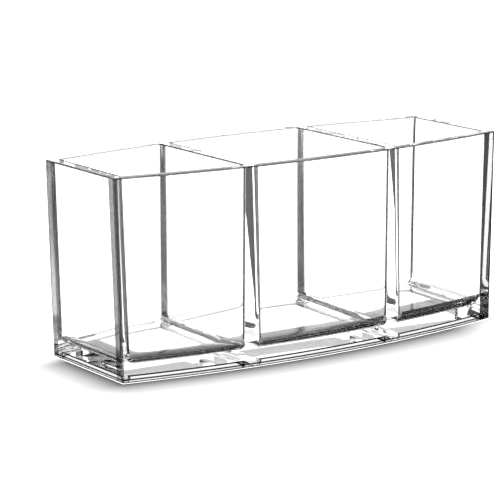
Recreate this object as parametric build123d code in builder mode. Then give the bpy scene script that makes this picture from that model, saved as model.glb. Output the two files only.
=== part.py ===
"""Clear three-compartment brush holder: cemented acrylic panels, open at the top.

Millimetres. The origin is on the table under the middle of the tray, +X runs along
its length, +Y to the back and +Z up.
"""

import os
from math import sqrt

from build123d import *

os.makedirs("parts", exist_ok=True)

# Overall size
length = 182.88  # end to end at the rim
depth = 71.12  # over the crowns of the two bowed walls
height = 78.74
end_depth = 51.1  # outside depth at the four corners
end_lean = 2.1  # how far each end steps in between the rim and the table

# Outer walls
wall = 4.1
corner_radius = 0.9  # upright outside corners
eased_edge = 0.4  # softened rim and base edges of the bowed walls

# Dividers
divider_place = 33.9  # centre of each divider, from the middle of the tray
divider_rim = 4.3  # thickness at the rim
divider_foot = 6.4  # thickness at the table

# Root where an end wall or divider meets a bowed wall
flare = 0.7
flare_bend_share = 0.33  # how far the root's hollow goes from its chord to the corner

# Floors
recess = 2.4  # free height under the floors
floor_thickness = 3.8
cove = 4.2  # radius where a floor turns up into the walls
cove_lip = 0.4  # thickness left at the top of the cove

# Cement line left between neighbouring panels
bond_gap = 0.05

# How far a cutting solid runs past what it cuts
overrun = 5.0

bow = (depth - end_depth) / 2
bow_radius = ((length / 2) ** 2 + bow**2) / (2 * bow)
bow_centre = bow_radius - depth / 2
inside_radius = bow_radius - wall - bond_gap


def half_length(z):
    """Half of the outside length at a height above the table."""
    return length / 2 - end_lean * (1 - z / height)


def half_divider(z):
    """Half of a divider's thickness at a height above the table."""
    return (divider_foot + (divider_rim - divider_foot) * z / height) / 2


def inside_face(x):
    """Distance from the middle to the cemented face of a bowed wall at x."""
    return sqrt(inside_radius**2 - x**2) - bow_centre


def root(x, out, side):
    """Hollow root in a corner at x, spreading along the wall towards out."""
    corner = Vector(x, side * inside_face(x))
    along_wall = Vector(x + out * flare, side * inside_face(x + out * flare))
    along_panel = Vector(x, side * (inside_face(x) - flare))
    chord_middle = (along_wall + along_panel) / 2
    hollow = chord_middle + (corner - chord_middle) * flare_bend_share
    return along_wall, hollow, along_panel


def divider_outline(place, half):
    """Plan of a divider, widened at both ends where it meets the bowed walls."""
    for out in (-1, 1):
        for side in (-1, 1):
            ThreePointArc(*root(place + out * half, out, side))
        Line((place + out * half, flare - inside_face(place + out * half)),
             (place + out * half, inside_face(place + out * half) - flare))
    for side in (-1, 1):
        seams = [root(place + out * half, out, side)[0] for out in (-1, 1)]
        ThreePointArc(seams[0], (place, side * inside_face(place)), seams[1])


def end_outline(hand, outside):
    """Plan of an end wall: flat outside, widened inside at the bowed walls."""
    inside = outside - wall
    for side in (-1, 1):
        seam, hollow, panel = root(hand * inside, -hand, side)
        ThreePointArc(seam, hollow, panel)
        edge = Vector(hand * outside, side * inside_face(outside))
        middle = (seam.X + edge.X) / 2
        ThreePointArc(seam, (middle, side * inside_face(middle)), edge)
    Line((hand * inside, flare - inside_face(inside)), (hand * inside, inside_face(inside) - flare))
    Line((hand * outside, -inside_face(outside)), (hand * outside, inside_face(outside)))


def floor_outline(left, right):
    """Plan of a floor between two limits in X, hollowed round its neighbours' roots."""
    for side in (-1, 1):
        left_root = root(left, 1, side)
        right_root = root(right, -1, side)
        ThreePointArc(*left_root)
        ThreePointArc(*right_root)
        middle = (left + right) / 2
        ThreePointArc(left_root[0], (middle, side * inside_face(middle)), right_root[0])
    for x in (left, right):
        Line((x, flare - inside_face(x)), (x, inside_face(x) - flare))


def upright_edges(solid):
    """The corner edges that run from a solid's foot to its top."""
    reach = solid.bounding_box().size.Z / 2
    return solid.edges().filter_by(lambda edge: edge.bounding_box().size.Z > reach)


# Bowed walls

for side, name in ((-1, "front_wall"), (1, "rear_wall")):
    with BuildPart() as bowed_wall:
        with BuildSketch():
            with Locations((0, -side * bow_centre)):
                Circle(bow_radius)
                Circle(bow_radius - wall, mode=Mode.SUBTRACT)
        extrude(amount=height)
        with BuildSketch(Plane.XZ):
            with BuildLine():
                Polyline(
                    (-half_length(0), 0),
                    (half_length(0), 0),
                    (half_length(height), height),
                    (-half_length(height), height),
                    close=True,
                )
            make_face()
        extrude(amount=-side * depth, mode=Mode.INTERSECT)
        corners = upright_edges(bowed_wall.part).sort_by(lambda edge: -side * edge.center().Y)
        fillet(corners[:2], corner_radius)
        for level in (0, -1):
            chamfer(bowed_wall.faces().sort_by(Axis.Z)[level].edges(), eased_edge)
    bowed_wall.part.label = name
    export_step(bowed_wall.part, f"parts/{name}.step")

# End walls

for hand, name in ((-1, "left_end_wall"), (1, "right_end_wall")):
    with BuildPart() as end_wall:
        for z in (0, height):
            with BuildSketch(Plane.XY.offset(z)):
                with BuildLine():
                    end_outline(hand, half_length(z))
                make_face()
        loft(ruled=True)
    end_wall.part.label = name
    export_step(end_wall.part, f"parts/{name}.step")

# Dividers

for hand, name in ((-1, "left_divider"), (1, "right_divider")):
    with BuildPart() as divider:
        for z in (0, height):
            with BuildSketch(Plane.XY.offset(z)):
                with BuildLine():
                    divider_outline(hand * divider_place, half_divider(z))
                make_face()
        loft(ruled=True)
    divider.part.label = name
    export_step(divider.part, f"parts/{name}.step")

# Floors, each a shallow tray with a cove up to the walls


def left_sides(z):
    return wall + bond_gap - half_length(z), -divider_place - half_divider(z) - bond_gap


def middle_sides(z):
    return half_divider(z) + bond_gap - divider_place, divider_place - half_divider(z) - bond_gap


def right_sides(z):
    return divider_place + half_divider(z) + bond_gap, half_length(z) - wall - bond_gap


floor_top = recess + floor_thickness
cove_top = floor_top + cove
hollow_top = cove_top + overrun

for sides, name in (
    (left_sides, "left_floor"),
    (middle_sides, "middle_floor"),
    (right_sides, "right_floor"),
):
    with BuildPart() as hollow:
        with BuildSketch(Plane.XY.offset(floor_top)):
            for side in (-1, 1):
                with Locations((0, side * bow_centre)):
                    Circle(inside_radius - cove_lip, mode=Mode.ADD if side < 0 else Mode.INTERSECT)
        extrude(amount=hollow_top - floor_top)
        with BuildSketch(Plane.XZ):
            with BuildLine():
                Polyline(
                    (sides(floor_top)[0] + cove_lip, floor_top),
                    (sides(floor_top)[1] - cove_lip, floor_top),
                    (sides(hollow_top)[1] - cove_lip, hollow_top),
                    (sides(hollow_top)[0] + cove_lip, hollow_top),
                    close=True,
                )
            make_face()
        extrude(amount=depth, both=True, mode=Mode.INTERSECT)
        foot_edges = hollow.faces().sort_by(Axis.Z)[0].edges()
        fillet(upright_edges(hollow.part) + foot_edges, cove)

    with BuildPart() as floor:
        for z in (recess, cove_top):
            with BuildSketch(Plane.XY.offset(z)):
                with BuildLine():
                    floor_outline(*sides(z))
                make_face()
        loft(ruled=True)
        add(hollow.part, mode=Mode.SUBTRACT)
    floor.part.label = name
    export_step(floor.part, f"parts/{name}.step")
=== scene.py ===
"""Clear three-compartment brush holder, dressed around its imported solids.

Every cemented panel is rebuilt as a fine clear shell over the solid that it stands for.
Metres. +X runs along the holder, +Y to the back and +Z up.
"""

from functools import partial
from math import atan2, cos, pi, radians, sin, sqrt

import bmesh
import bpy
from bpy.props import FloatProperty, FloatVectorProperty, PointerProperty
from mathutils import Matrix, Vector


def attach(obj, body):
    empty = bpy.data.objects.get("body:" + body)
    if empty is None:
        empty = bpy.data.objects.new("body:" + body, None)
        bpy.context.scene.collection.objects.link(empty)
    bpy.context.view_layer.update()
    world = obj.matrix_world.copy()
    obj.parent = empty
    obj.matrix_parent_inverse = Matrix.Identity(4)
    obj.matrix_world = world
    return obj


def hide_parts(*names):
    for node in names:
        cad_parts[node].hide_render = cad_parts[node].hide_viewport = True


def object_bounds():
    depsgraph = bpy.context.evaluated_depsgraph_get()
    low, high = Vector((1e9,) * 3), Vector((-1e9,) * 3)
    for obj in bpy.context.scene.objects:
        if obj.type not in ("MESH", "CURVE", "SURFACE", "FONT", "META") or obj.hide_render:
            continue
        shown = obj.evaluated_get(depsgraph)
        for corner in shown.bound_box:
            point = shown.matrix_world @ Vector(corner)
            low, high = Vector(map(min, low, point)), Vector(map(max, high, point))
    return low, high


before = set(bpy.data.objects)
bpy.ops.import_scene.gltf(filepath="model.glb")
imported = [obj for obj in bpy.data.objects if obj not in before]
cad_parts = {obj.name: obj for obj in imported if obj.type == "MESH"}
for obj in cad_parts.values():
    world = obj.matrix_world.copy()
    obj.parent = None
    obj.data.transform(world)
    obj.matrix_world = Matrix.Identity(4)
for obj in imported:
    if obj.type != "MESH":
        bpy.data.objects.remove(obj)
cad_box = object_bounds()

bl_info = {
    "name": "Clear Brush Holder",
    "version": (1, 0, 0),
    "blender": (4, 5, 0),
    "location": "View3D > Sidebar > Brush Holder",
    "description": "Builds a clear three-compartment brush holder on its packed solids",
    "category": "Add Mesh",
}

BODY = "root"

# How finely the shells are divided; the dark lines below are painted shade
ARC_STEPS = 72  # along a whole bowed wall
BAY_STEPS = 160  # along a bowed wall between two panels
EDGE_STEPS = 2  # of these, the ones that make the dark line beside the panel at their right
CORNER_STEPS = 10  # round an upright corner
LINE_STEPS = 4, 6  # the steps of a corner between which its dark line runs
ROOT_STEPS = 8  # round the hollow root of a panel
SEAM_STEPS = 6  # along a cemented seam
SIDE_STEPS = 16  # along a straight face, whose last step can be dull
END_STEPS = 2  # across the end of a bowed wall
EASE_STEPS = 5  # round an eased rim
COVE_STEPS = 20  # up a floor's cove

LAST_BAY = 2

# What a stretch of a panel's outline meets; bay edges and corner lines carry painted dark lines
FREE, POST, CORNER, CORNER_LINE, SEAM, POST_SEAM, FLOOR_SEAM, BAY_EDGE, ROOT = range(9)
OUTER = (FREE, POST, CORNER, CORNER_LINE)


def length_value(name, description, default):
    """A length that a user may change."""
    return FloatProperty(
        name=name, description=description, default=default, unit="LENGTH", precision=5
    )


def share_value(name, description, default):
    """A plain number between nought and one that a user may change."""
    return FloatProperty(
        name=name, description=description, default=default, subtype="FACTOR", min=0, max=1
    )


def plain_value(name, description, default):
    """A plain positive number that a user may change."""
    return FloatProperty(name=name, description=description, default=default, min=0)


def angle_value(name, description, default):
    """An angle that a user may change."""
    return FloatProperty(name=name, description=description, default=default, subtype="ANGLE")


class HolderSizes(bpy.types.PropertyGroup):
    """Sizes of the panels, their softened edges, roots and coves, and of the painted dark lines at the
    foot and beside the front right corner.
    """

    end_depth: length_value("End depth", "Outside depth at the four corners", 0.0511)
    end_lean: length_value("End lean", "How far each end steps in from rim to table", 0.0021)
    wall: length_value("Wall", "Thickness of the outer walls", 0.0041)
    corner_radius: length_value("Corner radius", "Radius of the upright outside corners", 0.0009)
    # Width of the painted dark line beside the front right corner
    corner_shade_width: length_value("Corner edge", "Width of the line beside the front right corner", 0.0006)
    eased_rim: length_value("Eased rim", "Radius of the softened rim edges", 0.0006)
    inner_rim: share_value("Inner rim", "Draw of an inner rim edge, as a share of an outer one's", 0.35)
    eased_base: length_value("Eased base", "Radius of the softened base edges", 0.0005)
    divider_place: length_value("Divider place", "Centre of each divider from the middle", 0.0339)
    divider_rim: length_value("Divider rim", "Thickness of a divider at the rim", 0.0043)
    divider_foot: length_value("Divider foot", "Thickness of a divider at the table", 0.0064)
    flare: length_value("Flare", "Reach of the hollow root where panels meet", 0.0007)
    root_bend: share_value("Root bend", "How far the root's hollow goes towards the corner", 0.82)
    recess: length_value("Recess", "Free height under the floors", 0.0024)
    # Height and width of the painted dark lines along the foot
    foot_shade_height: length_value("Foot line", "Height of the line along the foot", 0.00105)
    line_width: length_value("Line width", "Width of the lines along the foot", 0.00065)
    floor_thickness: length_value("Floor thickness", "Thickness of the floors", 0.0038)
    front_cove: length_value("Front cove", "Radius where a floor turns up into the front wall", 0.0047)
    end_cove: length_value("End cove", "Radius where a floor turns up into an end wall", 0.0042)
    divider_cove: length_value("Divider cove", "Radius where a floor turns up into a divider", 0.0013)
    rear_cove: length_value("Rear cove", "Radius where a floor turns up into the rear wall", 0.0013)
    cove_lip: length_value("Cove lip", "Thickness left at the top of the cove", 0.00004)
    cove_corner: length_value("Cove corner", "Radius left in the corners of a floor", 0.0004)


class HolderFinish(bpy.types.PropertyGroup):
    """Look of the clear moulded plastic, and the painted shade on its edges, roots, corners, seams and
    coves.
    """

    index: FloatProperty(name="Refraction", description="Refractive index", default=1.49, min=1, max=2)
    wall_ripple: length_value("Wall ripple", "Spacing of the faint ripples in the walls", 0.03)
    divider_ripple: length_value("Divider ripple", "Spacing of the faint ripples in the dividers", 0.02)
    floor_ripple: length_value("Floor ripple", "Spacing of the faint ripples in the floors", 0.012)
    ripple_depth: length_value("Ripple depth", "Depth of the faint ripples", 0.00001)
    wall_haze: share_value("Wall haze", "Roughness of the most handled spots of a wall", 0.02)
    divider_haze: share_value("Divider haze", "Roughness of the most rubbed spots of a divider", 0.01)
    floor_haze: share_value("Floor haze", "Roughness of the most scuffed spots of a floor", 0.04)
    sawn_haze: share_value("Sawn haze", "Roughness of the sawn edges at the rear", 0.2)
    haze_size: length_value("Haze size", "Spacing of the hazy spots", 0.015)
    # From here on the shares are painted shade that darkens the clear plastic at rims, base edges, roots,
    # corners, seams, coves and the foot; cove start and full place the front cove's shade
    rim_outside: share_value("Rim outside", "Light that the outer edge of a rim lets in", 0.12)
    rim_inside: share_value("Rim inside", "Light that the inner edge of a rim lets in", 0.2)
    rim_far: share_value("Rim far", "Light that the edges of the rear and right rims let in", 0.3)
    rim_divider: share_value("Rim divider", "Light that the edges of a divider's rim let in", 0.15)
    base_edge: share_value("Base edge", "Light that the edges of the base let in", 0.08)
    root_shade: share_value("Root tone", "Light that the hollow roots let out", 0.12)
    divider_root: share_value("Divider root", "Light that the front roots of the dividers let in", 0.1)
    bay_edge_shade: share_value("Edge line", "Light that the bowed walls let out beside a panel", 0.1)
    rear_root: share_value("Rear root", "Light that the dull rear ends of the dividers let in", 0.55)
    end_root: share_value("End root", "Light that the hollow roots of the end walls let pass", 0.1)
    corner_in: share_value("Corner in", "Light that the rounded corners let in", 0.25)
    corner_foot: share_value("Corner foot", "Light that the feet of the rounded corners let in", 0.25)
    corner_right: share_value("Corner right", "Light that the front right corner's edge lets in", 0.03)
    corner_out: share_value("Corner out", "Light that the rounded corners let out", 0.05)
    corner_middle_shade: share_value("Corner line", "Light that the middle of a rounded corner lets out", 0.05)
    post_in: share_value("Post in", "Light that the left end of the front wall lets in", 0.22)
    sawn_end_shade: share_value("Sawn in", "Light that the sawn left end of the rear wall lets in", 0.55)
    dull_band_shade: share_value("Sawn band", "Light that the dull band beside the sawn end lets in", 0.26)
    front_post: share_value("Front post", "Light that passes the seam at the front right corner", 0.7)
    post_foot: share_value("Post foot", "Light that passes the foot of the front right seam", 0.25)
    cove_right: share_value("Cove right", "Light that the front cove lets out at its right", 0.15)
    cove_start: length_value("Cove start", "Where along the holder the front cove begins to darken", -0.01)
    cove_full: length_value("Cove full", "Where along the holder the front cove is darkest", 0.03)
    cove_shade: share_value("Cove tone", "Light that a narrow cove lets in", 0.25)
    foot_zone_shade: share_value("Foot tone", "Light that the foot of the walls lets in", 0.5)
    shelf_shade: share_value("Shelf tone", "Light that the walls let in beside the floors", 0.7)
    line_shade: share_value("Line tone", "Light that the lines along the foot let pass", 0.03)


class StageLook(bpy.types.PropertyGroup):
    """Floor with its painted contact shadow and shade, light and camera."""

    brightness: plain_value("Brightness", "How far the white floor and backdrop are overexposed", 2.2)
    flank: share_value("Flank", "Floor beside the holder, as a ray mirrored sideways sees it", 0.06)
    depth_tone: share_value("Depth tone", "Grey that long paths inside the plastic settle to", 0.16)
    depth_start: plain_value("Depth start", "Reflections after which paths begin to grey", 6.5)
    depth_full: plain_value("Depth full", "Reflections after which paths are all grey", 8.5)
    backdrop: share_value("Backdrop tone", "Low backdrop, as the clear panels mirror it", 0.42)
    room: share_value("Room", "Dim room over the backdrop, as the clear panels see it", 0.35)
    backdrop_low: angle_value("Backdrop top", "Height up to which the backdrop is bright", radians(20))
    backdrop_high: angle_value("Backdrop end", "Height at which the backdrop ends", radians(40))
    shadow_depth: share_value("Shadow depth", "Light that the contact shadow takes at the base", 0.955)
    shadow_reach: length_value("Shadow reach", "Distance over which the contact shadow fades", 0.026)
    shadow_back: share_value("Shadow back", "Light that the contact shadow takes at the back", 0.15)
    shadow_right: share_value("Shadow right", "Light that the contact shadow takes at the right end", 0.6)
    back_start: length_value("Back start", "Where the shadow begins to fade towards the back", 0.012)
    back_end: length_value("Back end", "Where the shadow has faded to its strength at the back", 0.032)
    lit_end: length_value("Lit end", "Where the right end's lighter shadow begins", 0.06)
    foot_dark: length_value("Foot dark", "How far the dark of the front wall's foot goes in", 0.012)
    under_near: share_value("Under near", "Shade under the floors at the front wall", 0.02)
    under_far: share_value("Under far", "Shade under the floors where the light patch begins", 0.07)
    patch_front: length_value("Patch front", "Light patch's round centre, from the front", 0.043)
    patch_end: length_value("Patch end", "Light patch's round centre, from the left end", 0.032)
    patch_round: length_value("Patch round", "Radius of the light patch's corner", 0.009)
    patch_blur: length_value("Patch blur", "Half width of the light patch's soft edge", 0.0015)
    patch_turn: share_value("Patch turn", "How fast the light patch comes forward in the left bay", 0.23)
    patch_bend: length_value("Patch bend", "How far from the middle the patch comes forward", 0.035)
    floor_reach: length_value("Floor reach", "Half of the floor's side", 6.0)
    floor_drop: length_value("Floor drop", "Gap that keeps the floor clear of the base", 0.00005)
    azimuth: angle_value("Azimuth", "Camera's turn about the holder", -0.599938)
    elevation: angle_value("Elevation", "Camera's height above the table", 0.211089)
    roll: angle_value("Roll", "Camera's roll", -0.00619)
    place: FloatVectorProperty(
        name="Camera place",
        description="Where the camera stands",
        default=(-0.55362, -0.78996, 0.24257),
        subtype="TRANSLATION",
    )
    view_end: length_value("View end", "How far the camera sees", 100)
    lens: FloatProperty(name="Lens", description="Focal length", default=176.81, unit="CAMERA")


class HolderPlan:
    """Plan of the holder at any height, worked out from its box and its panel sizes."""

    def __init__(self, sizes):
        low, high = cad_box
        self.sizes = sizes
        self.length = high.x - low.x
        self.depth = high.y - low.y
        self.height = high.z - low.z
        bow = (self.depth - sizes.end_depth) / 2
        self.bow_radius = ((self.length / 2) ** 2 + bow**2) / (2 * bow)
        self.bow_centre = self.bow_radius - self.depth / 2
        self.inside_radius = self.bow_radius - sizes.wall
        self.floor_top = sizes.recess + sizes.floor_thickness
        self.wall_coves = {-1: sizes.front_cove, 1: sizes.rear_cove}

    def half_length(self, z):
        """Half of the outside length at a height above the table."""
        return self.length / 2 - self.sizes.end_lean * (1 - z / self.height)

    def half_divider(self, z):
        """Half of a divider's thickness at a height above the table."""
        foot, rim = self.sizes.divider_foot, self.sizes.divider_rim
        return (foot + (rim - foot) * z / self.height) / 2

    def inside_face(self, x):
        """Distance from the middle to the inside of a bowed wall at x."""
        return self.bowed(x, self.inside_radius)

    def bowed(self, x, radius):
        """Distance from the middle to a bowed face of that radius at x."""
        return sqrt(radius**2 - x**2) - self.bow_centre

    def outward(self, x, y):
        """Direction square to the bowed face through a point of the back half."""
        return Vector((x, y + self.bow_centre)).normalized()

    def corner_centre(self, x, radius, corner, hand=1):
        """Centre of a corner arc that touches a bowed face of that radius and the line at x."""
        centre_x = x - hand * corner
        return Vector((centre_x, self.bowed(centre_x, radius - corner)))

    def root(self, x, out, side):
        """Points round the hollow root in a corner at x, from the wall to the panel."""
        flare, bend = self.sizes.flare, self.sizes.root_bend
        corner = Vector((x, side * self.inside_face(x)))
        along_wall = Vector((x + out * flare, side * self.inside_face(x + out * flare)))
        along_panel = Vector((x, side * (self.inside_face(x) - flare)))
        middle = (along_wall + along_panel) / 2
        pull = middle + (corner - middle) * bend
        steps = [step / ROOT_STEPS for step in range(ROOT_STEPS + 1)]
        return [
            along_wall * (1 - t) ** 2 + pull * (2 * t * (1 - t)) + along_panel * t**2 for t in steps
        ]

    def bays(self, z):
        """Sides of the three compartments at a height, left to right, as pairs of x."""
        end = self.half_length(z) - self.sizes.wall
        near = self.sizes.divider_place - self.half_divider(z)
        far = self.sizes.divider_place + self.half_divider(z)
        return [(-end, -far), (-near, near), (far, end)]


class Outline:
    """A closed plan outline: its points, how each draws in at an edge, what it meets and its coves."""

    def __init__(self):
        self.points = []
        self.eases = []
        self.meets = []
        self.coves = []

    def add(self, points, eases, meets, coves):
        """Adds a stretch, with its coves at both ends. Its last point is left to the next stretch."""
        self.points += points[:-1]
        self.eases += eases[:-1]
        self.meets += [meets] * (len(points) - 1)
        self.coves += spread(*coves, len(points) - 1)[:-1]

    def drawn_in(self, distance, inner_share):
        """The points, drawn in by a distance at outer edges and by a share of it at inner ones."""
        shares = [1 if meets in OUTER else inner_share for meets in self.meets]
        return [
            point + ease * distance * share
            for point, ease, share in zip(self.points, self.eases, shares)
        ]


STILL = Vector((0, 0))


def spread(start, end, steps):
    """Evenly spaced numbers from start to end."""
    return [start + (end - start) * step / steps for step in range(steps + 1)]


def line(start, end, steps):
    """Evenly spaced points from start to end."""
    return [start.lerp(end, share) for share in spread(0, 1, steps)]


def normals_along(points, towards):
    """Directions square to an open row of points, on the side of a given direction."""
    found = []
    for index in range(len(points)):
        before, after = points[max(index - 1, 0)], points[min(index + 1, len(points) - 1)]
        run = (after - before).normalized()
        square = Vector((-run.y, run.x))
        found.append(square if square.dot(towards) > 0 else -square)
    return found


def held_ends(eases):
    """The same directions, with none at the two ends, where a seam holds the edge."""
    return [STILL] + eases[1:-1] + [STILL]


def bowed_wall_outline(plan, z, cove):
    """Plan of the rear bowed wall with its two rounded outside corners."""
    sizes = plan.sizes
    half = plan.half_length(z)
    coves = cove, cove
    outline = Outline()
    centre = plan.corner_centre(half, plan.bow_radius, sizes.corner_radius)
    touch = centre + plan.outward(*centre) * sizes.corner_radius

    places = spread(-touch.x, touch.x, ARC_STEPS)
    # A point that ends the painted dark line beside the front right corner
    places.insert(-1, touch.x - sizes.corner_shade_width)
    outer = [Vector((x, plan.bowed(x, plan.bow_radius))) for x in places]
    outline.add(outer, [-plan.outward(*point) for point in outer], FREE, coves)

    start = plan.outward(*centre)
    turns = spread(atan2(start.y, start.x), 0, CORNER_STEPS)
    ways = [Vector((cos(turn), sin(turn))) for turn in turns]
    corner = [centre + way * sizes.corner_radius for way in ways]
    add_corner(outline, corner, [-way for way in ways], coves)

    end = Vector((half, plan.inside_face(half)))
    face = line(corner[-1], end, END_STEPS)
    outline.add(face, [Vector((-1, 0))] * len(face), FREE, coves)

    add_inside(outline, plan, z, coves)

    left_face = [Vector((-point.x, point.y)) for point in reversed(face)]
    outline.add(left_face, [Vector((1, 0))] * len(left_face), POST, coves)
    left_corner = [Vector((-point.x, point.y)) for point in reversed(corner)]
    add_corner(outline, left_corner, [Vector((way.x, -way.y)) for way in reversed(ways)], coves)
    return outline


def add_inside(outline, plan, z, coves):
    """Adds the inside of the rear bowed wall from right to left: its seams, and what lies between."""
    flare, half = plan.sizes.flare, plan.half_length(z)
    stretches = []
    edge = half
    for left, right in reversed(plan.bays(z)):
        joint = POST_SEAM if edge == half else SEAM
        stretches.append((edge, right - flare, joint, SEAM_STEPS))
        stretches.append((right - flare, left + flare, FLOOR_SEAM, BAY_STEPS))
        edge = left + flare
    stretches.append((edge, -half, POST_SEAM, SEAM_STEPS))
    for begin, finish, meets, steps in stretches:
        points = [Vector((x, plan.inside_face(x))) for x in spread(begin, finish, steps)]
        eases = [STILL] * len(points)
        if begin == half:
            eases[0] = Vector((-1, 0))
        if finish == -half:
            eases[-1] = Vector((1, 0))
        if meets == FLOOR_SEAM:
            eases = held_ends([plan.outward(*point) for point in points])
            # A painted dark line along the bowed wall beside the panel to its right
            outline.add(points[: EDGE_STEPS + 1], eases[: EDGE_STEPS + 1], BAY_EDGE, coves)
            points, eases = points[EDGE_STEPS:], eases[EDGE_STEPS:]
        outline.add(points, eases, meets, coves)


def add_corner(outline, points, eases, coves):
    """Adds a rounded corner to an outline, with its painted dark line in the middle."""
    line_start, line_end = LINE_STEPS
    for start, end, meets in (
        (0, line_start, CORNER),
        (line_start, line_end, CORNER_LINE),
        (line_end, CORNER_STEPS, CORNER),
    ):
        outline.add(points[start : end + 1], eases[start : end + 1], meets, coves)


def seam_arc(plan, start, end, side):
    """Points along the inside of a bowed wall between two places in x."""
    return [Vector((x, side * plan.inside_face(x))) for x in spread(start, end, SEAM_STEPS)]


def end_wall_outline(plan, z):
    """Plan of the right end wall, widened inside at the bowed walls."""
    sizes = plan.sizes
    front_cove, rear_cove = plan.wall_coves[-1], plan.wall_coves[1]
    outside = plan.half_length(z)
    inside = outside - sizes.wall
    outline = Outline()
    inward = Vector((-1, 0))

    limit = plan.inside_face(outside)
    face = line(Vector((outside, -limit)), Vector((outside, limit)), SIDE_STEPS)
    outline.add(face, [inward] * len(face), FREE, (front_cove, rear_cove))

    seam = seam_arc(plan, outside, inside - sizes.flare, 1)
    outline.add(seam, [inward] + [STILL] * SEAM_STEPS, POST_SEAM, (rear_cove, rear_cove))

    root = plan.root(inside, -1, 1)
    eases = [STILL] + normals_along(root, Vector((1, 1)))[1:]
    outline.add(root, eases, ROOT, (rear_cove, sizes.end_cove))

    front_root = plan.root(inside, -1, -1)[::-1]
    face = line(root[-1], front_root[0], SIDE_STEPS)
    outline.add(face, [Vector((1, 0))] * len(face), FLOOR_SEAM, (sizes.end_cove, sizes.end_cove))
    eases = normals_along(front_root, Vector((1, -1)))[:-1] + [STILL]
    outline.add(front_root, eases, ROOT, (sizes.end_cove, front_cove))

    seam = seam_arc(plan, inside - sizes.flare, outside, -1)
    outline.add(seam, [STILL] * SEAM_STEPS + [inward], POST_SEAM, (front_cove, front_cove))
    return outline


def divider_outline(plan, z):
    """Plan of the right divider, widened at both ends where it meets the bowed walls."""
    sizes = plan.sizes
    place, half, cove = sizes.divider_place, plan.half_divider(z), sizes.divider_cove
    outline = Outline()
    for out, side in ((1, 1), (-1, -1)):
        x = place + out * half
        into = Vector((-out, 0))
        first_cove, last_cove = plan.wall_coves[-side], plan.wall_coves[side]
        first = plan.root(x, out, -side)
        eases = [STILL] + normals_along(first, Vector((-out, -side)))[1:]
        outline.add(first, eases, ROOT, (first_cove, cove))
        last = plan.root(x, out, side)[::-1]
        face = line(first[-1], last[0], SIDE_STEPS)
        outline.add(face, [into] * len(face), FLOOR_SEAM, (cove, cove))
        eases = normals_along(last, Vector((-out, side)))[:-1] + [STILL]
        outline.add(last, eases, ROOT, (cove, last_cove))
        seam = seam_arc(plan, last[-1].x, place - out * (half + sizes.flare), side)
        outline.add(seam, [STILL] * len(seam), SEAM, (last_cove, last_cove))
    return outline


def side_coves(plan, bay):
    """Coves at the left and the right side of a compartment."""
    end, divider = plan.sizes.end_cove, plan.sizes.divider_cove
    return end if bay == 0 else divider, end if bay == LAST_BAY else divider


def floor_outline(plan, z, bay):
    """Plan of a floor where it meets its neighbours, hollowed round their roots."""
    outline = Outline()
    left, right = plan.bays(z)[bay]
    left_cove, right_cove = side_coves(plan, bay)
    for x, other, cove, side in ((right, left, right_cove, 1), (left, right, left_cove, -1)):
        first = plan.root(x, -side, -side)
        last = plan.root(x, -side, side)[::-1]
        wall_end = plan.root(other, side, side)[0]
        wall_run = [
            Vector((step, side * plan.inside_face(step)))
            for step in spread(last[-1].x, wall_end.x, BAY_STEPS)
        ]
        first_cove, last_cove = plan.wall_coves[-side], plan.wall_coves[side]
        for points, meets, coves in (
            (first, ROOT, (first_cove, cove)),
            (line(first[-1], last[0], SIDE_STEPS), FLOOR_SEAM, (cove, cove)),
            (last, ROOT, (cove, last_cove)),
            (wall_run, FREE, (last_cove, last_cove)),
        ):
            outline.add(points, [STILL] * len(points), meets, coves)
    return outline


def hollow_row(plan, bay, turn):
    """Row of points round a compartment's hollow at one turn of its coves, from wall to floor."""
    sizes = plan.sizes
    rise, draw = 1 - sin(turn), 1 - cos(turn)
    hand_coves = dict(zip((-1, 1), side_coves(plan, bay)))
    sides = {}
    for hand, cove in hand_coves.items():
        edge = plan.bays(plan.floor_top + cove * rise)[bay][0 if hand < 0 else 1]
        sides[hand] = edge - hand * (sizes.cove_lip + cove * draw)
    radii = {
        side: plan.inside_radius - sizes.cove_lip - cove * draw
        for side, cove in plan.wall_coves.items()
    }

    def corner_arc(hand, side):
        """Points round one corner, from the straight side to the bowed one."""
        coves = hand_coves[hand], plan.wall_coves[side]
        corner = sizes.cove_corner + min(coves) * cos(turn)
        centre = plan.corner_centre(sides[hand], radii[side], corner, hand)
        square = plan.outward(*centre)
        turns = spread(0, atan2(square.y, hand * square.x), ROOT_STEPS)
        return [
            (centre.x + hand * cos(way) * corner, side * (centre.y + sin(way) * corner), cove)
            for way, cove in zip(turns, spread(*coves, ROOT_STEPS))
        ]

    found = []
    for hand in (1, -1):
        opening = corner_arc(hand, -hand)[::-1]
        closing = corner_arc(hand, hand)
        start, end = Vector(opening[-1]), Vector(closing[0])
        wall_run = [
            (x, hand * plan.bowed(x, radii[hand]), plan.wall_coves[hand])
            for x in spread(closing[-1][0], corner_arc(-hand, hand)[-1][0], BAY_STEPS)
        ]
        for points in (opening, line(start, end, SIDE_STEPS), closing, wall_run):
            found += points[:-1]
    return [(x, y, plan.floor_top + cove * rise) for x, y, cove in found]


def cove_row(plan, outline_at):
    """Row of an outline's points where the coves end, each at its own height."""
    heights = [plan.floor_top + cove for cove in outline_at(plan.floor_top).coves]
    points = {z: outline_at(z).points for z in set(heights)}
    return [(*points[z][index], z) for index, z in enumerate(heights)]


# Finishes of a face, in the order of a panel's materials
CLEAR, BONDED, SAWN = range(3)

# Light that a plain face lets in and out, with no painted shade
UNSHADED = (1, 1)

# Edges that turn more than this stay sharp
SHARP_ANGLE = radians(32)


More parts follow.
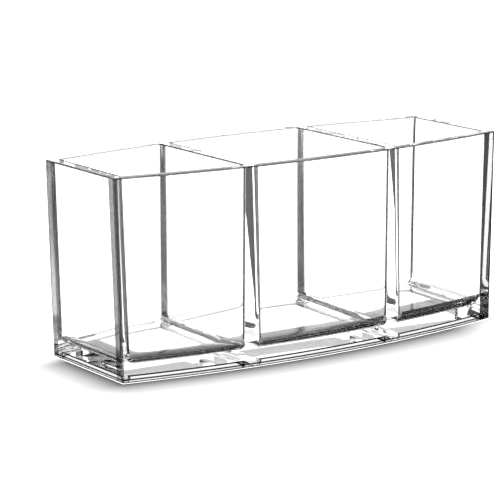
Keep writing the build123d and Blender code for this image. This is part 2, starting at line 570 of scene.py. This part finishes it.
def shell(name, rows, zone_at, materials):
    """A closed clear shell skinned over rows of points, with a lid on the first and last row."""
    mesh = bpy.data.meshes.new(name)
    work = bmesh.new()
    # Painted shade: the share of light that each face lets in and lets out
    painted_shade_in = work.faces.layers.float.new("painted_shade_in")
    painted_shade_out = work.faces.layers.float.new("painted_shade_out")
    made = [[work.verts.new(point) for point in row] for row in rows]
    count = len(rows[0])
    for level, (low, high) in enumerate(zip(made, made[1:])):
        for index in range(count):
            after = (index + 1) % count
            face = work.faces.new((low[index], low[after], high[after], high[index]))
            face.material_index, tones = zone_at(level, index)
            face[painted_shade_in], face[painted_shade_out] = tones
            face.smooth = True
    for row in (made[0][::-1], made[-1]):
        lid = work.faces.new(row)
        lid[painted_shade_in], lid[painted_shade_out] = UNSHADED
    bmesh.ops.recalc_face_normals(work, faces=work.faces)
    if work.calc_volume(signed=True) < 0:
        bmesh.ops.reverse_faces(work, faces=work.faces)
    work.to_mesh(mesh)
    work.free()
    mesh.set_sharp_from_angle(angle=SHARP_ANGLE)
    for material in materials:
        mesh.materials.append(material)
    piece = bpy.data.objects.new(name, mesh)
    bpy.context.scene.collection.objects.link(piece)
    return piece


def eased(radius):
    """Steps round a softened edge: how far each lies from the end face, and how far it draws in."""
    turns = spread(0, pi / 2, EASE_STEPS)
    return [(radius * (1 - cos(turn)), radius * (1 - sin(turn))) for turn in turns]


# Levels of an upright panel, counted up from its base; the lines at its foot are painted dark lines
FOOT_LEVEL = EASE_STEPS + 1  # line along the outside of its foot
LEDGE_LEVEL = EASE_STEPS + 3  # line inside its foot, just under the floors
SEAM_LEVEL = EASE_STEPS + 4  # where the floors meet it
RIM_LEVEL = EASE_STEPS + 6  # where its rim begins to round


def upright_panel(name, plan, outline_at, flip, tones, materials):
    """An upright panel from its plan outline, eased at rim and base, mirrored to its own place.

    Its tones are painted shade: the light that its rim lets in outside and inside, the light that its
    roots let in and out, and the light that its rear ends let in where they are dull.
    """
    sizes, finish = plan.sizes, bpy.context.scene.holder_finish
    # Rows that bound the painted dark lines along the foot
    line_low, line_high = sizes.foot_shade_height, sizes.foot_shade_height + sizes.line_width
    base = eased(sizes.eased_base)
    base += [(z, 0) for z in (line_low, line_high, sizes.recess - sizes.line_width, sizes.recess)]
    rim = [(plan.height - low, drawn) for low, drawn in reversed(eased(sizes.eased_rim))]

    def level_row(z, drawn):
        """Points of the outline at a height, drawn in by a distance."""
        return [(*point, z) for point in outline_at(z).drawn_in(drawn, sizes.inner_rim)]

    rows = [level_row(*level) for level in base]
    rows.append(cove_row(plan, outline_at))
    rows += [level_row(*level) for level in rim]
    flip_x, flip_y = flip
    rows = [[(flip_x * x, flip_y * y, z) for x, y, z in row] for row in rows]
    meets = outline_at(0).meets
    outside, inside, root_in, root_out, rear_in = tones

    def zone_at(level, index):
        """Finish of a face, and the painted shade on it: the light that it lets in from outside and out
        from within.
        """
        meeting = meets[index]
        before, after = meets[index - 1], meets[(index + 1) % len(meets)]
        faces_out = meeting in OUTER
        above_floor = level > SEAM_LEVEL
        x, y = rows[level][index][:2]
        front_right = x > 0 > y
        # Painted shade darkens the seam at the front right corner, most at its foot
        if meeting == POST_SEAM:
            tone = finish.front_post if above_floor else finish.post_foot
            return BONDED, (tone if front_right else 1, 1)
        if meeting == SEAM or level == SEAM_LEVEL and not faces_out:
            return BONDED, UNSHADED
        # Painted shade on the base edges, the rims and the two dark lines along the foot
        if level < EASE_STEPS:
            return CLEAR, (finish.base_edge, 1)
        if level >= RIM_LEVEL:
            return CLEAR, (outside if faces_out else inside, 1)
        if level == FOOT_LEVEL and faces_out:
            return CLEAR, (finish.line_shade, 1)
        if level == LEDGE_LEVEL and not faces_out:
            return CLEAR, (1, finish.line_shade)
        # The rear ends are dull with real roughness and darkened with painted shade
        if above_floor and y > 0:
            if meeting == POST:
                return SAWN, (finish.sawn_end_shade, 1)
            if meeting == FREE and x < 0 and after == POST_SEAM:
                return SAWN, (finish.dull_band_shade, 1)
            if rear_in and (meeting == ROOT or meeting == FLOOR_SEAM and ROOT in (before, after)):
                return SAWN, (rear_in, 1)
        # Painted shade on the roots, the line beside a panel, the corners, the left end of the bowed walls
        # and the walls' foot
        painted_shade_out = {
            ROOT: root_out,
            BAY_EDGE: finish.bay_edge_shade,
            CORNER: finish.corner_out,
            CORNER_LINE: finish.corner_middle_shade,
        }
        painted_shade_in = {ROOT: root_in, POST: finish.post_in}.get(meeting, 1)
        if meeting in (CORNER, CORNER_LINE):
            painted_shade_in = finish.corner_right if front_right else finish.corner_in
            painted_shade_in = painted_shade_in if above_floor else finish.corner_foot
        elif meeting == FREE and not above_floor:
            painted_shade_in = finish.shelf_shade if level == SEAM_LEVEL else finish.foot_zone_shade
        elif meeting == FREE and front_right and after == CORNER:
            painted_shade_in = finish.corner_right
        return CLEAR, (painted_shade_in, painted_shade_out.get(meeting, 1))

    return shell(name, rows, zone_at, materials)


# Levels of a floor where its cove begins, and half way down
COVE_START = 2
COVE_MIDDLE = COVE_START + COVE_STEPS // 2


def floor_panel(name, plan, bay, materials):
    """A compartment's floor: a shallow tray with a cove up to its neighbours."""
    recess, narrow = plan.sizes.recess, plan.sizes.divider_cove
    finish = bpy.context.scene.holder_finish
    outline = floor_outline(plan, recess, bay)
    rows = [[(*point, recess) for point in outline.points]]
    rows.append(cove_row(plan, lambda z: floor_outline(plan, z, bay)))
    rows += [hollow_row(plan, bay, turn) for turn in spread(0, pi / 2, COVE_STEPS)]

    def zone_at(level, index):
        """Finish of a face, and the painted shade on it: the light that it lets in from outside and out
        from within.
        """
        if level == 0:
            return BONDED, UNSHADED
        if level < COVE_START:
            return CLEAR, UNSHADED
        # Painted shade: the front cove darkens towards the right, and each narrow divider cove in its half
        # nearer the floor
        if outline.meets[index] == FREE and outline.points[index].y < 0:
            place = outline.points[index].x
            along = (place - finish.cove_start) / (finish.cove_full - finish.cove_start)
            along = min(max(along, 0), 1)
            return CLEAR, (1, 1 + (finish.cove_right - 1) * along)
        shaded = outline.meets[index] == FLOOR_SEAM and outline.coves[index] == narrow
        return CLEAR, (finish.cove_shade, 1) if shaded and level > COVE_MIDDLE else UNSHADED

    return shell(name, rows, zone_at, materials)


class Term:
    """A socket's number in a node tree, so that sums of sockets read as plain sums."""

    def __init__(self, tree, socket):
        self.tree = tree
        self.socket = socket

    def math(self, operation, *others):
        """The result of a math node fed by this term and the other terms or numbers."""
        node = self.tree.nodes.new("ShaderNodeMath")
        node.operation = operation
        self.tree.links.new(self.socket, node.inputs[0])
        for other, socket in zip(others, node.inputs[1:]):
            if isinstance(other, Term):
                self.tree.links.new(other.socket, socket)
            else:
                socket.default_value = other
        return Term(self.tree, node.outputs["Value"])

    def __add__(self, other):
        return self.math("ADD", other)

    def __mul__(self, other):
        return self.math("MULTIPLY", other)

    def __sub__(self, other):
        return self.math("SUBTRACT", other)

    def opposite(self):
        """One minus this term."""
        return self * -1 + 1

    def toward(self, other, share):
        """This term, moved towards another by a share."""
        return self + (self * -1 + other) * share

    def ramp(self, low, high, smooth=True):
        """Nought below the low value, one above the high one, and a slope between."""
        node = self.tree.nodes.new("ShaderNodeMapRange")
        node.interpolation_type = "SMOOTHSTEP" if smooth else "LINEAR"
        node.inputs["From Min"].default_value = low
        node.inputs["From Max"].default_value = high
        self.tree.links.new(self.socket, node.inputs["Value"])
        return Term(self.tree, node.outputs["Result"])

    def fading(self, amount, reach):
        """One, less an amount that dies away as this distance grows past a reach."""
        return ((self * (-1 / reach)).math("EXPONENT") * amount).opposite()


# Octaves of the noise, and the part of it over which a face goes from polished to its haziest
NOISE_DETAIL = 1
HAZE_RANGE = 0.6, 0.8


def effect(name, inputs, output):
    """A new node group of plain numbers: the group, its input node and the socket of its output."""
    group = bpy.data.node_groups.new(name, "ShaderNodeTree")
    for label in inputs:
        group.interface.new_socket(label, in_out="INPUT", socket_type="NodeSocketFloat")
    group.interface.new_socket(output, in_out="OUTPUT", socket_type="NodeSocketFloat")
    given = group.nodes.new("NodeGroupInput")
    wanted = group.nodes.new("NodeGroupOutput")
    return group, given, wanted.inputs[output]


def cloudy(group, size):
    """Soft noise through the plastic, with spots of a size that a socket gives."""
    place = group.nodes.new("ShaderNodeTexCoord")
    noise = group.nodes.new("ShaderNodeTexNoise")
    noise.inputs["Detail"].default_value = NOISE_DETAIL
    group.links.new(place.outputs["Object"], noise.inputs["Vector"])
    group.links.new(Term(group, size).math("POWER", -1).socket, noise.inputs["Scale"])
    return Term(group, noise.outputs["Fac"])


def moulded_ripple():
    """Node group: height of the faint ripples that a moulded face keeps."""
    name = "moulded_ripple"
    if name in bpy.data.node_groups:
        return bpy.data.node_groups[name]
    group, given, height = effect(name, ["Size"], "Height")
    group.links.new(cloudy(group, given.outputs["Size"]).socket, height)
    return group


def handled_haze():
    """Node group: roughness in spots where hands and brushes have rubbed a face."""
    name = "handled_haze"
    if name in bpy.data.node_groups:
        return bpy.data.node_groups[name]
    group, given, roughness = effect(name, ["Size", "Haze"], "Roughness")
    spots = cloudy(group, given.outputs["Size"]).ramp(*HAZE_RANGE)
    group.links.new((spots * Term(group, given.outputs["Haze"])).socket, roughness)
    return group


def use_effect(tree, group, values):
    """Adds a node group to a material with its own values, and gives its one output."""
    node = tree.nodes.new("ShaderNodeGroup")
    node.node_tree = group
    for label, value in values.items():
        node.inputs[label].default_value = value
    return node.outputs[0]


def clear_material(name, finish, ripple):
    """Clear glossy plastic, darkened with painted shade where a face's painted share of light is low:
    softened edges, hollow roots, corners, coves and the lines along the foot.
    """
    material = bpy.data.materials.new(name)
    material.use_nodes = True
    tree = material.node_tree
    shader = tree.nodes["Principled BSDF"]
    shader.inputs["IOR"].default_value = finish.index
    shader.inputs["Transmission Weight"].default_value = 1
    bump = tree.nodes.new("ShaderNodeBump")
    bump.inputs["Distance"].default_value = finish.ripple_depth
    tree.links.new(use_effect(tree, moulded_ripple(), {"Size": ripple}), bump.inputs["Height"])
    tree.links.new(bump.outputs["Normal"], shader.inputs["Normal"])
    from_inside = Term(tree, tree.nodes.new("ShaderNodeNewGeometry").outputs["Backfacing"])
    # Painted shade: each face's painted share of light darkens the colour, on the way in or out
    light = painted(tree, "painted_shade_in").toward(painted(tree, "painted_shade_out"), from_inside)
    tree.links.new((light * light).socket, shader.inputs["Base Color"])
    return material


def polished_material(name, finish, ripple, haze):
    """Clear plastic, polished but for the spots that are handled most."""
    material = clear_material(name, finish, ripple)
    tree = material.node_tree
    rough = use_effect(tree, handled_haze(), {"Size": finish.haze_size, "Haze": haze})
    tree.links.new(rough, tree.nodes["Principled BSDF"].inputs["Roughness"])
    return material


def sawn_material(name, finish):
    """Clear plastic with the even dullness of a sawn edge."""
    material = clear_material(name, finish, finish.wall_ripple)
    material.node_tree.nodes["Principled BSDF"].inputs["Roughness"].default_value = finish.sawn_haze
    return material


def painted(tree, layer):
    """Number that the faces of a shell hold in a layer."""
    node = tree.nodes.new("ShaderNodeAttribute")
    node.attribute_name = layer
    return Term(tree, node.outputs["Fac"])


def cement_and_shade_material(name):
    """Cement line between panels, clear, or grey with painted shade at the front right seam, so that
    elsewhere light passes straight through.
    """
    material = bpy.data.materials.new(name)
    material.use_nodes = True
    tree = material.node_tree
    shader = tree.nodes["Principled BSDF"]
    shader.inputs["Base Color"].default_value = (0, 0, 0, 1)
    shader.inputs["Specular IOR Level"].default_value = 0
    tree.links.new(painted(tree, "painted_shade_in").opposite().socket, shader.inputs["Alpha"])
    return material


def finishes(kind):
    """The finishes of a kind of panel: its polished plastic, the cement, and sawn edges but for floors."""
    finish = bpy.context.scene.holder_finish
    ripple, haze = getattr(finish, kind + "_ripple"), getattr(finish, kind + "_haze")
    name = "polished_" + kind
    polished = bpy.data.materials.get(name) or polished_material(name, finish, ripple, haze)
    cement = bpy.data.materials.get("cement_and_shade") or cement_and_shade_material("cement_and_shade")
    if kind == "floor":
        return [polished, cement]
    sawn = bpy.data.materials.get("sawn_edge") or sawn_material("sawn_edge", finish)
    return [polished, cement, sawn]


def seat(piece, node):
    """Puts a finished piece on the holder in place of its solid."""
    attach(piece, BODY)
    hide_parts(node)


class HOLDER_OT_bowed_walls(bpy.types.Operator):
    """Builds the two bowed long walls"""

    bl_idname = "holder.bowed_walls"
    bl_label = "Bowed Walls"

    def execute(self, context):
        plan = HolderPlan(context.scene.holder_sizes)
        finish = context.scene.holder_finish
        # Painted shade of the rims and roots, for the near and the far wall
        near = finish.rim_outside, finish.rim_inside, 1, 1, None
        far = finish.rim_far, finish.rim_far, 1, 1, None
        for node, side, tones in (("front_wall", -1, near), ("rear_wall", 1, far)):
            outline_at = partial(bowed_wall_outline, plan, cove=plan.wall_coves[side])
            piece = upright_panel("clear_" + node, plan, outline_at, (1, side), tones, finishes("wall"))
            seat(piece, node)
        return {"FINISHED"}


class HOLDER_OT_end_walls(bpy.types.Operator):
    """Builds the two flat end walls"""

    bl_idname = "holder.end_walls"
    bl_label = "End Walls"

    def execute(self, context):
        plan = HolderPlan(context.scene.holder_sizes)
        finish = context.scene.holder_finish
        # Painted shade of the rims and roots, for the near and the far end
        near = finish.rim_outside, finish.rim_inside, finish.end_root, finish.end_root, None
        far = finish.rim_far, finish.rim_far, finish.end_root, finish.end_root, None
        outline_at = partial(end_wall_outline, plan)
        for node, hand, tones in (("left_end_wall", -1, near), ("right_end_wall", 1, far)):
            piece = upright_panel("clear_" + node, plan, outline_at, (hand, 1), tones, finishes("wall"))
            seat(piece, node)
        return {"FINISHED"}


class HOLDER_OT_dividers(bpy.types.Operator):
    """Builds the two tapered dividers"""

    bl_idname = "holder.dividers"
    bl_label = "Dividers"

    def execute(self, context):
        plan = HolderPlan(context.scene.holder_sizes)
        finish = context.scene.holder_finish
        # Painted shade of the divider's rims, roots and dull rear ends
        rim = finish.rim_divider
        tones = rim, rim, finish.divider_root, finish.root_shade, finish.rear_root
        outline_at = partial(divider_outline, plan)
        for node, hand in (("left_divider", -1), ("right_divider", 1)):
            piece = upright_panel("clear_" + node, plan, outline_at, (hand, 1), tones, finishes("divider"))
            seat(piece, node)
        return {"FINISHED"}


class HOLDER_OT_floors(bpy.types.Operator):
    """Builds the three coved floors"""

    bl_idname = "holder.floors"
    bl_label = "Floors"

    def execute(self, context):
        plan = HolderPlan(context.scene.holder_sizes)
        for bay, node in enumerate(("left_floor", "middle_floor", "right_floor")):
            piece = floor_panel("clear_" + node, plan, bay, finishes("floor"))
            seat(piece, node)
        return {"FINISHED"}


# How often a ray may bounce inside the plastic, and cross cemented seams, before it is given up
BOUNCES = 48
SEAM_CROSSINGS = 64


class HOLDER_OT_stage(bpy.types.Operator):
    """Lays the pale floor and sets the soft light and the camera"""

    bl_idname = "holder.stage"
    bl_label = "Stage"

    def execute(self, context):
        scene = context.scene
        look = scene.holder_stage
        lay_floor(scene, look)
        light_sky(scene, look)
        place_camera(scene, look)
        scene.view_settings.view_transform = "Standard"
        scene.cycles.max_bounces = BOUNCES
        scene.cycles.transmission_bounces = BOUNCES
        scene.cycles.glossy_bounces = BOUNCES
        scene.cycles.transparent_max_bounces = SEAM_CROSSINGS
        return {"FINISHED"}


def mirrored(tree, look):
    """How a ray came: how often mirrored, whether an odd number of times, and by how long a path."""
    path = tree.nodes.new("ShaderNodeLightPath")
    count = Term(tree, path.outputs["Glossy Depth"])
    return count, count.math("MODULO", 2), count.ramp(look.depth_start, look.depth_full)


def lay_floor(scene, look):
    """A large pale floor just under the base that glows evenly by itself, apart from a painted contact
    shadow, painted shade under the holder and painted darkening for mirrored rays.
    """
    mesh = bpy.data.meshes.new("pale_floor")
    reach = look.floor_reach
    ways = (-1, -1), (1, -1), (1, 1), (-1, 1)
    corners = [(x * reach, y * reach, -look.floor_drop) for x, y in ways]
    mesh.from_pydata(corners, [], [range(len(ways))])
    material = bpy.data.materials.new("pale_floor")
    material.use_nodes = True
    tree = material.node_tree
    shader = tree.nodes["Principled BSDF"]
    shader.inputs["Base Color"].default_value = (0, 0, 0, 1)
    shader.inputs["Specular IOR Level"].default_value = 0
    shader.inputs["Emission Strength"].default_value = look.brightness
    tone = floor_tone(tree, look, HolderPlan(scene.holder_sizes))
    tree.links.new(tone.socket, shader.inputs["Emission Color"])
    mesh.materials.append(material)
    floor = bpy.data.objects.new("pale_floor", mesh)
    scene.collection.objects.link(floor)


# A ray that looks in under the floors crosses fewer surfaces than this on its way
UNDER_EDGE_CROSSINGS = 3

# A ray that runs down inside an end wall from its rim is mirrored more often than this
END_PIPE_TURNS = 5


def floor_tone(tree, look, plan):
    """Brightness of the floor: a painted contact shadow and painted shade under the holder from its
    distance to the holder, and painted darkening from how a ray came to it.
    """
    place = tree.nodes.new("ShaderNodeSeparateXYZ")
    tree.links.new(tree.nodes.new("ShaderNodeNewGeometry").outputs["Position"], place.inputs["Vector"])
    x, y = (Term(tree, place.outputs[axis]) for axis in "XY")

    def beyond(way):
        """Distance past the bowed face on one side, negative within it."""
        across = y * way + plan.bow_centre
        return (across * across + x * x).math("SQRT") - plan.bow_radius

    front, rear = beyond(-1), beyond(1)
    end = x.math("ABSOLUTE") - plan.half_length(0)
    inside = front.math("MAXIMUM", rear).math("MAXIMUM", end).math("LESS_THAN", 0)
    # Painted contact shadow round the holder, weaker at the back and the right end

    out_end = end.math("MAXIMUM", 0)
    out_side = front.math("MAXIMUM", rear).math("MAXIMUM", 0)
    away = (out_side * out_side + out_end * out_end).math("SQRT")
    at_back = y.ramp(look.back_start, look.back_end)
    at_right = x.ramp(look.lit_end, plan.half_length(0))
    amount = at_back * (look.shadow_back - look.shadow_depth) + look.shadow_depth
    amount = amount.toward(amount.math("MINIMUM", look.shadow_right), at_right)
    outer = away.fading(amount, look.shadow_reach)

    # Painted shade under the holder's floors, darkest at the front wall, round a lighter patch
    within, beside = front * -1, x + plan.half_length(0)
    nearer = (x * -1 - look.patch_bend).math("MAXIMUM", 0) * look.patch_turn
    short_front = (within * -1 + look.patch_front - nearer).math("MAXIMUM", 0)
    short_end = (beside * -1 + look.patch_end).math("MAXIMUM", 0)
    short = (short_front * short_front + short_end * short_end).math("SQRT")
    inward = within.ramp(0, look.patch_front, smooth=False)
    under = inward * (look.under_far - look.under_near) + look.under_near
    patch = short.ramp(look.patch_round - look.patch_blur, look.patch_round + look.patch_blur)
    inner = patch.opposite().toward(under, patch)
    foot = within.ramp(look.foot_dark, look.foot_dark + look.patch_blur)
    # Painted darkening for rays mirrored an odd number of times, and grey for long paths
    count, odd, deep = mirrored(tree, look)
    open_tone = outer * (odd * (look.flank - 1) + 1)
    through = Term(tree, tree.nodes.new("ShaderNodeLightPath").outputs["Transmission Depth"])
    under_edge = through.math("LESS_THAN", UNDER_EDGE_CROSSINGS) * count.math("LESS_THAN", 1)
    inner = inner * foot.math("MAXIMUM", odd.opposite())
    below_end = end.math("GREATER_THAN", -plan.sizes.wall) * count.math("GREATER_THAN", END_PIPE_TURNS)
    inner = inner.math("MAXIMUM", under_edge).math("MAXIMUM", below_end)
    tone = open_tone.toward(inner, inside)
    return tone.toward(look.depth_tone, deep * below_end.opposite())


def light_sky(scene, look):
    """Even soft light from all round, which the clear panels see as a backdrop and a dim room."""
    world = bpy.data.worlds.new("soft_light")
    world.use_nodes = True
    tree = world.node_tree
    back = tree.nodes["Background"]
    back.inputs["Color"].default_value = (1, 1, 1, 1)
    height = tree.nodes.new("ShaderNodeSeparateXYZ")
    tree.links.new(tree.nodes.new("ShaderNodeTexCoord").outputs["Generated"], height.inputs["Vector"])
    up = Term(tree, height.outputs["Z"])
    backdrop = up.ramp(sin(look.backdrop_low), sin(look.backdrop_high)).opposite()
    _, odd, deep = mirrored(tree, look)
    mirror = (backdrop * look.backdrop).math("MAXIMUM", look.room)
    seen = mirror.math("MAXIMUM", odd.opposite())
    seen = seen.toward(look.depth_tone, deep)
    direct = Term(tree, tree.nodes.new("ShaderNodeLightPath").outputs["Is Camera Ray"])
    shown = seen.math("MAXIMUM", direct) * look.brightness
    tree.links.new(shown.socket, back.inputs["Strength"])
    scene.world = world


def place_camera(scene, look):
    """The camera, where the photograph was taken from."""
    az, el = look.azimuth, look.elevation
    back = Vector((sin(az) * cos(el), -cos(az) * cos(el), sin(el)))
    right = Vector((cos(az), sin(az), 0))
    up = back.cross(right)
    level = Matrix((right, up, back)).transposed()
    data = bpy.data.cameras.new("camera")
    data.lens = look.lens
    data.clip_end = look.view_end
    camera = bpy.data.objects.new("camera", data)
    turn = level @ Matrix.Rotation(look.roll, 3, "Z")
    camera.matrix_world = Matrix.Translation(look.place) @ turn.to_4x4()
    scene.collection.objects.link(camera)
    scene.camera = camera


class HOLDER_PT_panel(bpy.types.Panel):
    """Lists the steps that build the holder"""

    bl_idname = "HOLDER_PT_panel"
    bl_label = "Brush Holder"
    bl_space_type = "VIEW_3D"
    bl_region_type = "UI"
    bl_category = "Brush Holder"

    def draw(self, context):
        for step in STEPS:
            self.layout.operator(step.bl_idname)


GROUPS = {"holder_sizes": HolderSizes, "holder_finish": HolderFinish, "holder_stage": StageLook}
STEPS = (
    HOLDER_OT_bowed_walls,
    HOLDER_OT_end_walls,
    HOLDER_OT_dividers,
    HOLDER_OT_floors,
    HOLDER_OT_stage,
)


def register():
    for made in (*GROUPS.values(), *STEPS, HOLDER_PT_panel):
        bpy.utils.register_class(made)
    for name, group in GROUPS.items():
        setattr(bpy.types.Scene, name, PointerProperty(type=group))


def unregister():
    for name in GROUPS:
        delattr(bpy.types.Scene, name)
    for made in (HOLDER_PT_panel, *reversed(STEPS), *GROUPS.values()):
        bpy.utils.unregister_class(made)


def main():
    register()
    bpy.ops.holder.bowed_walls()
    bpy.ops.holder.end_walls()
    bpy.ops.holder.dividers()
    bpy.ops.holder.floors()
    bpy.ops.holder.stage()


if __name__ == "__main__":
    main()
